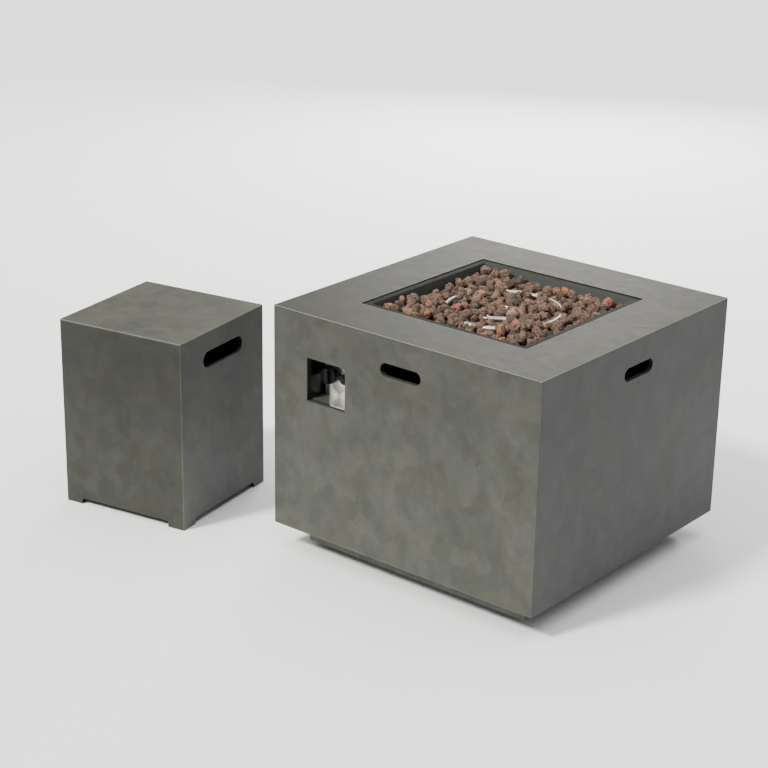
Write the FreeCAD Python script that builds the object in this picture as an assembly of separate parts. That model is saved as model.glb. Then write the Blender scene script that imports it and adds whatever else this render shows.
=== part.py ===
import FreeCAD, Part
import math
import os
import random

# Square gas fire pit with a matching gas-bottle cover.
# Millimetres, +Z up. The origin is on the floor under the middle of the fire pit;
# the controls face -Y and the gas-bottle cover stands off to the front left.

# ---------------------------------------------------------------- shell
pit_width = 780.0            # outside, square
pit_height = 630.0           # floor to the top face
shell_lift = 64.0            # floor to the shell's bottom edge
shell_wall = 12.0
slab_thickness = 13.0        # top slab
shell_corner_radius = 3.0
shell_edge_radius = 1.6      # worn arris round the top
cavity_corner_radius = 14.0
top_opening = 486.0          # clear opening at the top face, square
step_depth = 4.0             # rebate that takes the pan's flange
step_width = 15.0
rib_width = 16.0             # stiffening rib under the opening's edge
rib_depth = 24.0
slot_length = 119.0          # hand slots, one in each wall
slot_height = 33.0
slot_drop = 80.0             # top face to the slot's centre line
side_hole_diameter = 4.0     # small hole under the right-hand slot
side_hole_drop = 30.0        # below the slot's centre line

# ---------------------------------------------------------------- plinth and feet
plinth_inset = 61.0          # set back from the shell's face
plinth_wall = 12.0
plinth_bottom = 12.0         # floor to the plinth's lower edge
plinth_top = 100.0
foot_block_size = 54.0       # corner block inside the plinth
foot_block_height = 28.0
foot_setback = 25.0          # plinth's inside face to the foot's axis
insert_radius = 6.0
insert_length = 24.0
insert_flange_radius = 10.0
insert_flange = 2.0
stud_radius = 4.0
stud_length = 44.0
pad_radius = 14.0
pad_height = 8.0
pad_socket_depth = 5.0
foot_nut_across = 13.0

# ---------------------------------------------------------------- base frame
angle_thickness = 3.0
angle_height = 45.0          # upright leg
angle_seat = 20.0            # how far the flat leg lies on the plinth
frame_screw_spread = 300.0   # between the two shell screws of one side
frame_screw_rise = 25.0      # above the flat leg

# ---------------------------------------------------------------- burner pan
pan_sheet = 2.0
pan_side_gap = 2.0           # pan's wall to the edge that it hangs in
pan_depth = 64.0             # flange top to the floor
pan_corner_radius = 5.0
pan_bend_radius = 1.4
drain_radius = 4.0
drain_inset = 59.0           # pan's wall to the corner drains

# ---------------------------------------------------------------- burner
ring_inset = 82.0            # pan's wall to the ring tube's centre line
ring_tube_radius = 6.35
ring_drop = 24.0             # top face to the tube's centre line
cross_tube_radius = 5.7
port_radius = 1.1
port_depth = 2.0
port_count = 24
port_lean = math.radians(30)  # outwards from straight up
hub_radius = 15.0
hub_height = 22.0
hub_rise = 8.0               # above the ring's centre line
hub_socket_depth = 12.0
nipple_radius = 10.65
nipple_bore = 8.0
nipple_gap = 0.2             # top end to the hub's socket
nipple_engagement = 18.0     # in the mixer's socket
nipple_tail = 26.0           # below the pan's floor
burner_nut_across = 30.0
burner_nut_height = 6.0
post_count = 4
post_sheet = 2.0
post_width = 16.0
post_foot = 16.0

# ---------------------------------------------------------------- pilot
pilot_x = 34.0
pilot_y = -70.0
pilot_turn = 30.0            # degrees, about Z
shield_radius = 6.5
shield_length = 45.0
shield_sheet = 0.7
shield_lift = 3.0            # above the ring's centre line
shield_hole_radius = 1.3
shield_hole_rows = 5
shield_hole_count = 6        # in each row
bracket_sheet = 1.5
bracket_foot = 14.0
bracket_half_width = 9.0
bracket_shoulder = 5.0
bracket_rise = 2.0           # plate above the shield
probe_radius = 1.6
insulator_radius = 2.5
insulator_length = 28.0
electrode_wire_radius = 0.8
electrode_length = 44.0
electrode_tail = 12.0        # behind the bracket's plate
probe_side = 2.6             # probe and electrode sit this far each side of the shield's axis
lead_hole_radius = 8.0
lead_hole_offset = 30.0      # from the bracket's plate to the hole in the pan floor
lead_run = 26.0              # straight out of the valve and the igniter
lead_drop = 22.0             # below the pan's floor
lead_bend = 9.0
probe_drop = 34.0
probe_bend = 14.0
probe_reach = 8.0            # hot tip past the shield's middle

# ---------------------------------------------------------------- air mixer and gas line
mixer_socket_radius = 14.0
mixer_socket_length = 20.0
mixer_throat_radius = 9.0
mixer_chamber_radius = 12.0
mixer_wall = 2.5
mixer_taper = 17.0
mixer_chamber_length = 34.0
mixer_window_width = 9.0
mixer_window_height = 18.0
mixer_floor = 6.0
mixer_window_rise = 3.0      # above the floor
jet_spigot_radius = 6.0
jet_spigot_length = 8.0
jet_hex_across = 19.0
jet_hex_height = 12.0
jet_hole_radius = 1.0
pipe_radius = 5.0
pipe_wall = 1.0
pipe_nut_across = 17.0
pipe_nut_length = 12.0
pipe_drop = 70.0             # lowest run, below the jet
pipe_run = 80.0              # straight out of the valve
pipe_bend = 26.0

# ---------------------------------------------------------------- controls
recess_width = 118.0
recess_height = 109.0
recess_inset = 166.0         # shell's left face to the recess's centre
recess_drop = 163.0          # top face to the recess's centre
recess_corner_radius = 1.0
box_reveal = 3.0             # the steel box is this much smaller than the recess, each side
box_sheet = 1.2
box_depth = 62.0             # shell's face to the back panel
box_lap = 14.0               # flange behind the shell's wall
knob_offset = 22.0           # left of the recess's centre
igniter_offset = 26.0        # right of it
control_rise = 10.0          # above it
knob_radius = 22.0
knob_skirt = 20.0            # round body behind the grip bar
knob_grip = 10.0             # grip bar in front of the skirt
knob_grip_width = 12.0
knob_wall = 3.0
knob_boss_radius = 7.0
knob_boss_gap = 0.5          # boss to bonnet when pushed
knob_face = 4.0              # solid front of the grip bar
stem_cover = 3.0             # stem's end past the skirt
knob_travel = 3.0            # pushed in before it turns
knob_clearance = 2.0         # left between knob and bonnet when pushed
stem_radius = 4.0
stem_flat = 1.2
stem_flat_run = 1.0          # flats run this far past the knob's boss and out of the plug
stem_collar_radius = 7.0
stem_collar = 1.5
spring_wire = 0.6            # square wire
spring_gap = 0.1             # at each end of a spring
spring_turns = 3
battery_spring_turns = 2
stem_spring_radius = 5.7     # to the wire's centre line
button_spring_radius = 3.0
battery_spring_radius = 3.6
valve_radius = 15.0
valve_end_wall = 8.0         # behind the plug
valve_ear_half = 23.0
valve_ear_height = 11.0
valve_ear_sheet = 4.0
valve_screw_side = 18.5
bonnet_radius = 9.0
bonnet_stand = 4.0           # in front of the back panel
bonnet_bore = 7.2
bonnet_bore_depth = 8.0
boss_radius = 9.0
inlet_reach = 36.0
outlet_reach = 14.0
probe_boss_radius = 6.0
probe_boss_reach = 28.0
stem_engagement = 7.0        # stem's drive end inside the plug
gas_bore = 4.0
stem_guide = 18.0            # spring's bore to the plug; sets the gas inlet back, clear of the frame
plug_length = 26.0
plug_front_radius = 9.0
plug_rear_radius = 7.5
plug_bore = 2.5
inlet_hex_across = 19.0
inlet_hex_height = 10.0
flare_radius = 7.94          # 5/8 in male gas flare
flare_length = 16.0
flare_nose = 3.0
barrel_radius = 10.0
barrel_bore = 5.6
barrel_front = 20.0          # in front of the back panel
barrel_end_wall = 3.0
igniter_flange_radius = 14.0
igniter_flange = 3.0
igniter_nut_across = 26.0
igniter_nut_height = 5.0
cap_radius = 13.0
cap_gap = 0.2                # cap to the barrel's flange
cap_front_wall = 3.0
button_radius = 7.5
button_proud = 4.0
button_flange_radius = 9.0
button_flange = 1.5
button_travel = 3.0
button_clearance = 2.0       # left between button and barrel when pushed
button_bore = 4.0            # hollow that takes the button's spring
button_bore_depth = 4.0
battery_radius = 5.25        # AAA cell
battery_length = 44.5
battery_stand = 0.8          # cell's end in front of the barrel
battery_spring_length = 4.0
terminal_length = 7.0
terminal_rise = 4.0          # terminals above and below the barrel's axis
lead_radius = 1.5

# ---------------------------------------------------------------- lava rock
rock_cells = 20              # facets across the bed
rock_edge_drop = 32.0        # top face to the rocks beside the pan's wall
rock_middle_drop = 15.0      # top face to the rocks in the middle
rock_heap_radius = 150.0
rock_groove = 6.0            # over the ring
rock_groove_width = 14.0
rock_roughness = 5.0
rock_gap = 0.3

# ---------------------------------------------------------------- gas-bottle cover
cover_width = 370.0
cover_height = 498.0
cover_wall = 10.0
cover_top = 12.0
cover_x = -829.0
cover_y = -332.0
cover_turn = 10.0            # degrees, about Z
cover_corner_radius = 3.0
cover_edge_radius = 1.6
leg_width = 49.0
leg_height = 16.0
leg_corner_radius = 8.0
cover_slot_length = 175.0
cover_slot_height = 43.0
cover_slot_level = 424.0

# ---------------------------------------------------------------- fits
slip = 0.05                  # radial, shaft in its own hole
fit_gap = 0.3                # beside a curved or loose face
pan_gap = 1.0                # flange to the step's edge
screw_radius = 2.0
screw_head_radius = 4.0
screw_head = 2.5
screw_bite = 8.0
floor_screw_tail = 4.0       # below the pan's floor
plinth_screw_radius = 2.5
plinth_screw_head_radius = 5.0
plinth_screw_head = 3.0
plinth_screw_bite = 22.0

# ---------------------------------------------------------------- places worked out from the sizes
vec = FreeCAD.Vector
centre = vec(0, 0, 0)
up = vec(0, 0, 1)
down = vec(0, 0, -1)
back = vec(0, 1, 0)
front = vec(0, -1, 0)
left = vec(-1, 0, 0)
right = vec(1, 0, 0)

pit_half = pit_width / 2
shell_inner = pit_half - shell_wall
slab_bottom = pit_height - slab_thickness
opening_half = top_opening / 2
ledge_half = opening_half - step_width
ledge_level = pit_height - step_depth
plinth_half = pit_half - plinth_inset
plinth_inner = plinth_half - plinth_wall
foot_place = plinth_inner - foot_setback
frame_outer = shell_inner - fit_gap
pan_top = ledge_level + pan_sheet
pan_floor = pan_top - pan_depth
pan_half = ledge_half - pan_side_gap - pan_sheet
ring_radius = pan_half - ring_inset
recess_x = recess_inset - pit_half
recess_z = pit_height - recess_drop
knob_x = recess_x - knob_offset
igniter_x = recess_x + igniter_offset
control_z = recess_z + control_rise
slot_level = pit_height - slot_drop
ring_level = pit_height - ring_drop
hub_bottom = ring_level + hub_rise - hub_height
nipple_top = hub_bottom + hub_socket_depth - nipple_gap
nipple_bottom = pan_floor - pan_sheet - nipple_tail
mixer_top = nipple_bottom + nipple_engagement
mixer_bottom = mixer_top - mixer_socket_length - mixer_taper - mixer_chamber_length
jet_bottom = mixer_bottom - jet_hex_height
panel_front = -pit_half + box_depth
panel_back = panel_front + box_sheet
bonnet_front = panel_front - bonnet_stand
bonnet_floor = bonnet_front + bonnet_bore_depth
plug_front = bonnet_floor + stem_guide
port_line = plug_front + plug_length / 2
valve_back = plug_front + plug_length + valve_end_wall
outlet_end = valve_back + outlet_reach
knob_rear = bonnet_front - knob_travel - knob_clearance
grip_front = knob_rear - knob_skirt - knob_grip
knob_boss_rear = knob_rear + knob_clearance - knob_boss_gap
stem_outer = knob_rear - knob_skirt - stem_cover
stem_nose = knob_boss_rear + stem_flat_run
stem_inner = plug_front + stem_engagement
shield_level = ring_level + shield_lift
bracket_place = -shield_length / 2 - bracket_sheet
electrode_place = bracket_place - electrode_tail
bracket_screw = bracket_place + bracket_foot * 0.65
barrel_nose = panel_front - barrel_front
battery_front = barrel_nose - battery_stand
barrel_end = battery_front + battery_length + battery_spring_length + barrel_end_wall
cap_rear = panel_front - igniter_flange - cap_gap
button_rear = barrel_nose - button_clearance - button_travel
cap_inside = button_rear - button_flange
cap_front = cap_inside - cap_front_wall
cap_length = cap_rear - cap_front


# ---------------------------------------------------------------- small builders
def block(half_x, half_y, low, high, radius=0.0, x=0.0, y=0.0):
    # upright block about (x, y), with rounded upright edges
    solid = Part.makeBox(2 * half_x, 2 * half_y, high - low, vec(x - half_x, y - half_y, low))
    if radius > 0:
        upright = [edge for edge in solid.Edges if abs(edge.tangentAt(edge.FirstParameter).z) > 0.99]
        solid = solid.makeFillet(radius, upright)
    return solid


def ring_block(outer, inner, low, high, outer_radius=0.0, inner_radius=0.0):
    return block(outer, outer, low, high, outer_radius).cut(block(inner, inner, low, high, inner_radius))


def rod(radius, length, base, direction=up):
    return Part.makeCylinder(radius, length, base, direction)


def tube(radius, bore, length, base, direction=up):
    return rod(radius, length, base, direction).cut(rod(bore, length, base, direction))


def aimed(shape, base, direction):
    # a shape built along +Z from the origin, turned to the direction and moved to the base
    moved = shape.copy()
    moved.Placement = FreeCAD.Placement(base, FreeCAD.Rotation(up, direction)).multiply(moved.Placement)
    return moved


def turned(shape, degrees):
    moved = shape.copy()
    moved.rotate(centre, up, degrees)
    return moved


def hexagon(across, height, bore, base, direction=up):
    points = []
    for corner in range(7):
        angle = math.radians(60 * corner + 30)
        points.append(vec(math.cos(angle), math.sin(angle), 0) * (across / math.sqrt(3)))
    prism = Part.Face(Part.makePolygon(points)).extrude(up * height)
    if bore > 0:
        prism = prism.cut(rod(bore, height, centre))
    return aimed(prism, base, direction)


def screw(shank, head, head_height, length):
    # pan head above z = 0, shank below it
    cap = rod(head, head_height, centre)
    rim = [edge for edge in cap.Edges if edge.CenterOfMass.z > head_height * 0.9]
    cap = cap.makeChamfer(head_height * 0.35, rim)
    return cap.fuse(rod(shank, length, centre, down)).removeSplitter()


def slot_bar(length, height, level, near_y, far_y):
    # round-ended bar along Y, which cuts a hand slot
    reach = length / 2 - height / 2
    depth = far_y - near_y
    bar = Part.makeBox(2 * reach, depth, height, vec(-reach, near_y, level - height / 2))
    for side in (-reach, reach):
        bar = bar.fuse(rod(height / 2, depth, vec(side, near_y, level), back))
    return bar.removeSplitter()


def window(half_x, half_z, x, z, near_y, far_y, radius=0.0):
    # rectangle in the XZ plane, run along Y
    solid = Part.makeBox(2 * half_x, far_y - near_y, 2 * half_z, vec(x - half_x, near_y, z - half_z))
    if radius > 0:
        along = [edge for edge in solid.Edges if abs(edge.tangentAt(edge.FirstParameter).y) > 0.99]
        solid = solid.makeFillet(radius, along)
    return solid


def route(points, bend):
    # straight runs joined by tangent arcs; each arc fits its two runs
    edges = []
    start = points[0]
    for before, corner, after in zip(points, points[1:], points[2:]):
        run_in = corner - before
        run_out = after - corner
        turn = run_in.getAngle(run_out)
        longest = 0.45 * min(run_in.Length, run_out.Length) / math.tan(turn / 2)
        setback = min(bend, longest) * math.tan(turn / 2)
        enter = corner - run_in.normalize() * setback
        leave = corner + run_out.normalize() * setback
        bulge = (enter + leave) * 0.5 - corner
        radius = setback / math.tan(turn / 2)
        middle = corner + bulge.normalize() * (radius / math.cos(turn / 2) - radius)
        edges.append(Part.LineSegment(start, enter).toShape())
        edges.append(Part.Arc(enter, middle, leave).toShape())
        start = leave
    edges.append(Part.LineSegment(start, points[-1]).toShape())
    return Part.Wire(edges)


def along(path, radius):
    edge = path.Edges[0]
    heading = edge.tangentAt(edge.FirstParameter)
    begin = edge.valueAt(edge.FirstParameter)
    section = Part.Wire(Part.makeCircle(radius, begin, heading))
    return path.makePipeShell([section], True, False)


def coil(mean_radius, length, turns, base, direction):
    # spring of square wire, one corner of the section to each side
    half = spring_wire / math.sqrt(2)
    rise = length - 2 * half
    helix = Part.makeLongHelix(rise / turns, rise, mean_radius)
    section = ((1, 0), (0, 1), (-1, 0), (0, -1), (1, 0))
    corners = [vec(mean_radius + x * half, 0, z * half) for x, z in section]
    spring = Part.Wire(helix).makePipeShell([Part.makePolygon(corners)], True, True)
    return aimed(spring, base + direction * half, direction)


def pilot_place(shape):
    # the pilot parts are built about the shield's middle, along X, then turned and moved into place
    moved = turned(shape, pilot_turn)
    moved.translate(vec(pilot_x, pilot_y, 0))
    return moved


def pilot_point(along_axis, sideways, level):
    angle = math.radians(pilot_turn)
    x = pilot_x + along_axis * math.cos(angle) - sideways * math.sin(angle)
    y = pilot_y + along_axis * math.sin(angle) + sideways * math.cos(angle)
    return vec(x, y, level)


parts = {}


def keep(name, shape):
    parts[name] = shape


# ---------------------------------------------------------------- shell
def pit_shell():
    body = block(pit_half, pit_half, shell_lift, pit_height, shell_corner_radius)
    arris = [edge for edge in body.Edges if edge.CenterOfMass.z > pit_height - 0.01]
    body = body.makeFillet(shell_edge_radius, arris)
    body = body.cut(block(shell_inner, shell_inner, shell_lift - 1, slab_bottom, cavity_corner_radius))
    rib = ledge_half + rib_width
    body = body.fuse(block(rib, rib, slab_bottom - rib_depth, slab_bottom + 1, shell_corner_radius))
    mouth = block(ledge_half, ledge_half, slab_bottom - rib_depth - 1, pit_height + 1, shell_corner_radius)
    step = block(opening_half, opening_half, ledge_level, pit_height + 1, shell_corner_radius)
    body = body.cut(mouth).cut(step)
    slot = slot_bar(slot_length, slot_height, slot_level, -pit_half - 1, -shell_inner + 1)
    for side in range(4):
        body = body.cut(turned(slot, 90 * side))
    hole = vec(shell_inner - 1, 0, slot_level - side_hole_drop)
    body = body.cut(rod(side_hole_diameter / 2, shell_wall + 2, hole, right))
    recess = window(recess_width / 2, recess_height / 2, recess_x, recess_z, -pit_half - 1, -shell_inner + 1,
                    recess_corner_radius)
    body = body.cut(recess)
    for base, direction in shell_screw_places():
        body = body.cut(rod(screw_radius + slip, screw_bite + 0.5, base, direction))
    for base in box_screw_places():
        body = body.cut(rod(screw_radius + slip, screw_bite + 0.5, vec(base.x, -shell_inner, base.z), front))
    return body.removeSplitter()


# ---------------------------------------------------------------- plinth and feet
def foot_places():
    return [vec(x * foot_place, y * foot_place, 0) for x, y in ((-1, -1), (1, -1), (1, 1), (-1, 1))]


def plinth():
    body = ring_block(plinth_half, plinth_inner, plinth_bottom, plinth_top, shell_corner_radius)
    reach = plinth_inner - foot_block_size / 2
    for place in foot_places():
        x = math.copysign(reach, place.x)
        y = math.copysign(reach, place.y)
        half = foot_block_size / 2
        body = body.fuse(block(half, half, plinth_bottom, plinth_bottom + foot_block_height, 0, x, y))
    for place in foot_places():
        hole = vec(place.x, place.y, plinth_bottom - 1)
        body = body.cut(rod(insert_radius, foot_block_height + 2, hole))
        body = body.cut(rod(insert_flange_radius + slip, insert_flange + 1, hole))
    for base in plinth_screw_places():
        body = body.cut(rod(plinth_screw_radius + slip, plinth_screw_bite + 1, base, down))
    return body.removeSplitter()


def foot_insert(place):
    base = vec(place.x, place.y, plinth_bottom)
    sleeve = rod(insert_radius - slip, insert_length, base)
    flange = rod(insert_flange_radius, insert_flange, base)
    return sleeve.fuse(flange).cut(rod(stud_radius + slip, insert_length, base)).removeSplitter()


def foot_pad(place):
    # moulded foot: a short cone with a bevelled lower edge
    pad = Part.makeCone(pad_radius, pad_radius - 3, pad_height, place)
    rim = [edge for edge in pad.Edges if edge.CenterOfMass.z < 0.01]
    pad = pad.makeChamfer(1.5, rim)
    socket = vec(place.x, place.y, pad_height - pad_socket_depth)
    return pad.cut(rod(stud_radius + slip, pad_socket_depth, socket))


def foot_stud(place):
    base = vec(place.x, place.y, pad_height - pad_socket_depth)
    stud = rod(stud_radius, stud_length, base)
    tip = [edge for edge in stud.Edges if edge.CenterOfMass.z > base.z + stud_length - 0.01]
    return stud.makeChamfer(0.8, tip)


def foot_lock_nut(place):
    height = plinth_bottom - pad_height
    return hexagon(foot_nut_across, height, stud_radius + slip, vec(place.x, place.y, pad_height))


# ---------------------------------------------------------------- base frame
def shell_screw_places():
    level = plinth_top + angle_thickness + frame_screw_rise
    places = []
    for side in range(4):
        angle = math.radians(90 * side)
        outward = vec(math.sin(angle), -math.cos(angle), 0)
        sideways = vec(math.cos(angle), math.sin(angle), 0)
        for offset in (-frame_screw_spread / 2, frame_screw_spread / 2):
            places.append((outward * shell_inner + sideways * offset + up * level, outward))
    return places


def plinth_screw_places():
    reach = plinth_half - plinth_wall / 2
    return [vec(x * reach, y * reach, plinth_top) for x, y in ((0, -1), (1, 0), (0, 1), (-1, 0))]


def base_frame():
    flat_top = plinth_top + angle_thickness
    corner = cavity_corner_radius + 1
    flat = ring_block(frame_outer, plinth_half - angle_seat, plinth_top, flat_top, corner)
    upright = ring_block(frame_outer, frame_outer - angle_thickness, flat_top, plinth_top + angle_height,
                         corner, corner - angle_thickness)
    body = flat.fuse(upright).removeSplitter()
    for base, direction in shell_screw_places():
        start = base - direction * (angle_thickness + 1)
        body = body.cut(rod(screw_radius + slip, angle_thickness + 2, start, direction))
    for base in plinth_screw_places():
        body = body.cut(rod(plinth_screw_radius + slip, angle_thickness + 2, base - up))
    return body


def shell_screw(base, direction):
    grip = angle_thickness + fit_gap
    fastener = screw(screw_radius, screw_head_radius, screw_head, grip + screw_bite)
    return aimed(fastener, base - direction * grip, direction * -1)


def plinth_screw(base):
    fastener = screw(plinth_screw_radius, plinth_screw_head_radius, plinth_screw_head,
                     angle_thickness + plinth_screw_bite)
    return aimed(fastener, base + up * angle_thickness, up)


# ---------------------------------------------------------------- burner pan
def drain_places():
    half = pan_half - drain_inset
    return [vec(x * half, y * half, 0) for x in (-1, 0, 1) for y in (-1, 0, 1) if (x, y) != (0, 0)]


def burner_pan():
    flange_half = opening_half - pan_gap
    outer = pan_half + pan_sheet
    body = block(flange_half, flange_half, ledge_level, pan_top, shell_corner_radius)
    bowl = block(outer, outer, pan_floor - pan_sheet, ledge_level + 0.1, pan_corner_radius + pan_sheet)
    body = body.fuse(bowl)
    body = body.cut(block(pan_half, pan_half, pan_floor, pan_top + 1, pan_corner_radius))
    mouth = [edge for edge in body.Edges if on_square(edge, pan_half, pan_top)]
    body = body.makeFillet(pan_bend_radius, mouth)
    body = body.cut(rod(nipple_radius + slip, 3 * pan_sheet, vec(0, 0, pan_floor - 2 * pan_sheet)))
    for place in drain_places():
        body = body.cut(rod(drain_radius, 3 * pan_sheet, place + up * (pan_floor - 2 * pan_sheet)))
    for base in floor_screw_places():
        body = body.cut(rod(screw_radius + slip, 3 * pan_sheet, base - up * 2 * pan_sheet))
    lead_hole = pilot_point(bracket_place - lead_hole_offset, 0, pan_floor - 2 * pan_sheet)
    return body.cut(rod(lead_hole_radius, 3 * pan_sheet, lead_hole)).removeSplitter()


def on_square(edge, half, level):
    # true for the edges that run round a square mouth of this half width at this level
    box = edge.BoundBox
    flat = abs(box.ZMin - level) < 0.01 and abs(box.ZMax - level) < 0.01
    return flat and max(abs(box.XMin), abs(box.XMax), abs(box.YMin), abs(box.YMax)) < half + 0.01


# ---------------------------------------------------------------- burner
def post_angles():
    return [45 + 360 / post_count * step for step in range(post_count)]


def ring_burner():
    ring = Part.makeTorus(ring_radius, ring_tube_radius, vec(0, 0, ring_level))
    cross = rod(cross_tube_radius, 2 * ring_radius, vec(-ring_radius, 0, ring_level), right)
    hub = rod(hub_radius, hub_height, vec(0, 0, hub_bottom))
    crown = [edge for edge in hub.Edges if edge.CenterOfMass.z > hub_bottom + hub_height - 0.01]
    hub = hub.makeFillet(2, crown)
    body = ring.fuse([cross, hub])
    body = body.cut(rod(nipple_radius + slip, hub_socket_depth, vec(0, 0, hub_bottom)))
    ports = []
    for step in range(port_count):
        angle = 2 * math.pi * (step + 0.5) / port_count
        outward = vec(math.cos(angle), math.sin(angle), 0)
        heading = outward * math.sin(port_lean) + up * math.cos(port_lean)
        middle = outward * ring_radius + up * ring_level
        bottom = middle + heading * (ring_tube_radius - port_depth)
        ports.append(rod(port_radius, port_depth + 1, bottom, heading))
    return body.cut(ports)


def burner_nipple():
    return tube(nipple_radius, nipple_bore, nipple_top - nipple_bottom, vec(0, 0, nipple_bottom))


def burner_lock_nuts():
    upper = hexagon(burner_nut_across, burner_nut_height, nipple_radius + slip, vec(0, 0, pan_floor))
    lower_base = vec(0, 0, pan_floor - pan_sheet - burner_nut_height)
    lower = hexagon(burner_nut_across, burner_nut_height, nipple_radius + slip, lower_base)
    return Part.makeCompound([upper, lower])


def burner_post(degrees):
    # folded strip: a foot on the pan's floor and an upright with a saddle for the ring
    corner = vec(ring_radius - post_foot, -post_width / 2, pan_floor)
    foot = Part.makeBox(post_foot, post_width, post_sheet, corner)
    upright = Part.makeBox(post_sheet, post_width, ring_level - pan_floor,
                           vec(ring_radius - post_sheet / 2, -post_width / 2, pan_floor))
    body = foot.fuse(upright)
    saddle = Part.makeTorus(ring_radius, ring_tube_radius + slip, vec(0, 0, ring_level))
    body = body.cut(saddle)
    hole = vec(ring_radius - post_foot / 2, 0, pan_floor - post_sheet)
    body = body.cut(rod(screw_radius + slip, 3 * post_sheet, hole))
    return turned(body.removeSplitter(), degrees)


def post_screw_places():
    place = vec(ring_radius - post_foot / 2, 0, pan_floor)
    rotation = [FreeCAD.Rotation(up, degrees) for degrees in post_angles()]
    return [turn.multVec(place) for turn in rotation]


def pilot_screw_place():
    return pilot_point(bracket_screw, 0, pan_floor)


def floor_screw_places():
    return post_screw_places() + [pilot_screw_place()]


def floor_screw(base, sheet):
    length = sheet + pan_sheet + floor_screw_tail
    return aimed(screw(screw_radius, screw_head_radius, screw_head, length), base + up * sheet, up)


# ---------------------------------------------------------------- pilot
def pilot_bracket():
    foot = Part.makeBox(bracket_foot, 2 * bracket_half_width, bracket_sheet,
                        vec(bracket_place, -bracket_half_width, pan_floor))
    top = shield_level + shield_radius + bracket_rise
    corner = vec(bracket_place, -bracket_half_width, pan_floor)
    plate = Part.makeBox(bracket_sheet, 2 * bracket_half_width, top - pan_floor, corner)
    shoulders = [edge for edge in plate.Edges if edge.CenterOfMass.z > top - 0.01 and edge.Length < 2]
    body = foot.fuse(plate.makeFillet(bracket_shoulder, shoulders))
    for side, radius in ((-probe_side, probe_radius), (probe_side, insulator_radius)):
        hole = vec(bracket_place - 1, side, shield_level)
        body = body.cut(rod(radius + slip, bracket_sheet + 2, hole, right))
    screw_hole = vec(bracket_screw, 0, pan_floor - bracket_sheet)
    body = body.cut(rod(screw_radius + slip, 3 * bracket_sheet, screw_hole))
    return pilot_place(body.removeSplitter())


def pilot_shield():
    base = vec(-shield_length / 2, 0, shield_level)
    body = tube(shield_radius, shield_radius - shield_sheet, shield_length, base, right)
    holes = []
    pitch = shield_length / (shield_hole_rows + 1)
    for row in range(shield_hole_rows):
        x = -shield_length / 2 + pitch * (row + 1)
        for step in range(shield_hole_count // 2):
            angle = math.pi * (step + 0.5 * (row % 2)) / (shield_hole_count // 2)
            heading = vec(0, math.cos(angle), math.sin(angle))
            start = vec(x, 0, shield_level) - heading * (shield_radius + 1)
            holes.append(rod(shield_hole_radius, 2 * shield_radius + 2, start, heading))
    return pilot_place(body.cut(holes))


def spark_electrode():
    start = vec(electrode_place, probe_side, shield_level)
    insulator = rod(insulator_radius, insulator_length, start, right)
    wire = rod(electrode_wire_radius, electrode_length, start, right)
    return pilot_place(insulator.fuse(wire).removeSplitter())


def lead_up(side, level):
    # where a lead comes up through the pan's floor
    return pilot_point(bracket_place - lead_hole_offset, side, level)


def between(start, end, share, level):
    # a point over the straight line from start to end, at this level
    return vec(start.x + (end.x - start.x) * share, start.y + (end.y - start.y) * share, level)


def thermocouple():
    # one piece from the valve's boss to the hot tip in the shield
    begin = vec(knob_x - probe_boss_reach, port_line, control_z)
    out = begin + left * lead_run
    low = pan_floor - probe_drop
    riser = lead_up(-probe_side, low)
    points = [begin, out, out + back * 2 * lead_run, between(out, riser, 0.4, low - probe_radius),
              between(out, riser, 0.85, low), riser, lead_up(-probe_side, shield_level),
              pilot_point(probe_reach, -probe_side, shield_level)]
    return along(route(points, probe_bend), probe_radius)


def igniter_lead():
    begin = vec(igniter_x, barrel_end, control_z + terminal_rise)
    out = begin + back * lead_run
    low = pan_floor - lead_drop
    riser = lead_up(probe_side, low)
    points = [begin, out, between(out, riser, 0.4, low - lead_radius), between(out, riser, 0.8, low), riser,
              lead_up(probe_side, shield_level), pilot_point(electrode_place, probe_side, shield_level)]
    return along(route(points, lead_bend), lead_radius)


# ---------------------------------------------------------------- air mixer and gas line
def air_mixer():
    # turned brass venturi: socket, throat and chamber in one revolved profile
    neck = mixer_top - mixer_socket_length
    chamber = neck - mixer_taper
    outer = [vec(mixer_socket_radius, 0, mixer_top), vec(mixer_socket_radius, 0, neck),
             vec(mixer_throat_radius, 0, neck - mixer_taper * 0.6), vec(mixer_chamber_radius, 0, chamber),
             vec(mixer_chamber_radius, 0, mixer_bottom)]
    socket = nipple_radius + slip
    stop = nipple_bottom
    throat = mixer_throat_radius - mixer_wall
    hollow = mixer_chamber_radius - mixer_wall
    floor = mixer_bottom + mixer_floor
    inner = [vec(jet_spigot_radius + slip, 0, mixer_bottom), vec(jet_spigot_radius + slip, 0, floor),
             vec(hollow, 0, floor), vec(hollow, 0, chamber), vec(throat, 0, neck - mixer_taper * 0.6),
             vec(nipple_bore, 0, stop), vec(socket, 0, stop), vec(socket, 0, mixer_top)]
    profile = Part.Face(Part.makePolygon(outer + inner + outer[:1]))
    body = profile.revolve(centre, up, 360)
    window_low = floor + mixer_window_rise
    for axis in (vec(1, 0, 0), vec(0, 1, 0)):
        reach = mixer_chamber_radius + 1
        size = vec(mixer_window_width / 2, mixer_window_width / 2, 0)
        half = vec(reach if axis.x else size.x, reach if axis.y else size.y, 0)
        body = body.cut(block(half.x, half.y, window_low, window_low + mixer_window_height))
    return body.removeSplitter()


def gas_jet():
    spigot = rod(jet_spigot_radius, jet_spigot_length, vec(0, 0, mixer_bottom))
    nut = hexagon(jet_hex_across, jet_hex_height, 0, vec(0, 0, jet_bottom))
    body = spigot.fuse(nut).cut(rod(gas_bore, jet_hex_height, vec(0, 0, jet_bottom)))
    body = body.cut(rod(jet_hole_radius, jet_spigot_length + jet_hex_height, vec(0, 0, jet_bottom)))
    return body.removeSplitter()


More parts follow.
